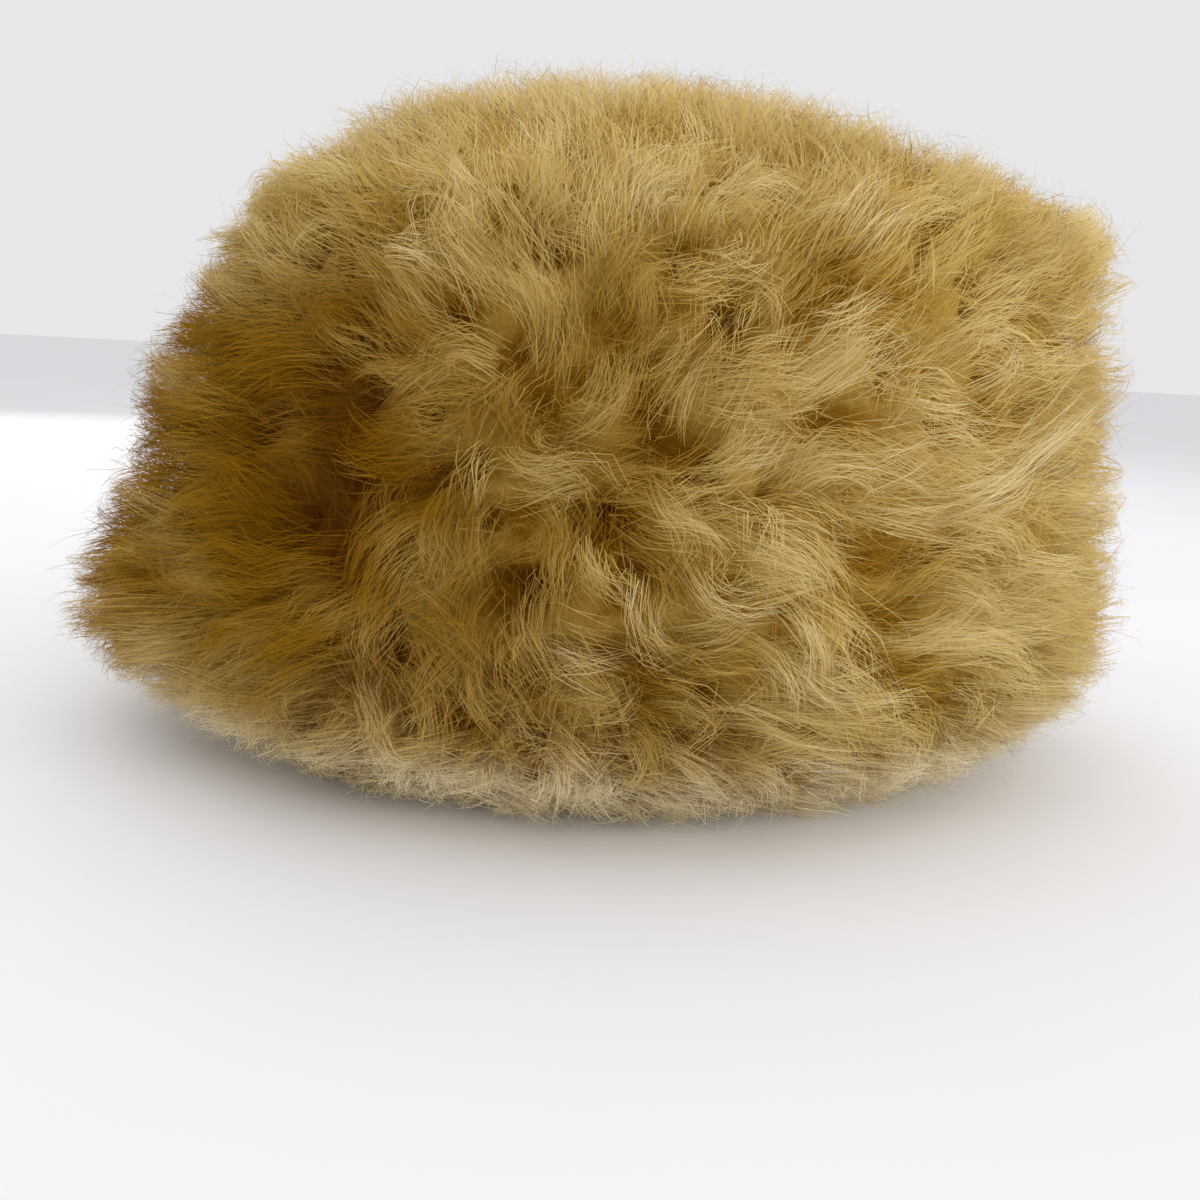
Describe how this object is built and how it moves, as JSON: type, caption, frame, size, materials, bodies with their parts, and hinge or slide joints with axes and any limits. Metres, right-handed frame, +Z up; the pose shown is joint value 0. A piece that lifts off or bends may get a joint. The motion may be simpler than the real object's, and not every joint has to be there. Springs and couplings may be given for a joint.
{
  "type": "shaggy sheepskin telpek hat",
  "caption": "Tall round drum hat of long shaggy wool on a leather band and a domed crown panel, open below for the head.",
  "frame": {"origin": "on the surface that the rim stands on, under the middle of the hat", "axes": "+Z up through the crown, +X to the right as the picture shows it, -Y towards the viewer"},
  "size_m": [0.3943, 0.3909, 0.2399],
  "materials": {
    "leather": "matt suede",
    "wool": "long soft straw-coloured wool, browner towards the roots"
  },
  "bodies": {
    "root": {"side_hide": "leather", "top_hide": "leather", "side_fleece": "wool", "top_fleece": "wool"}
  },
  "joints": []
}
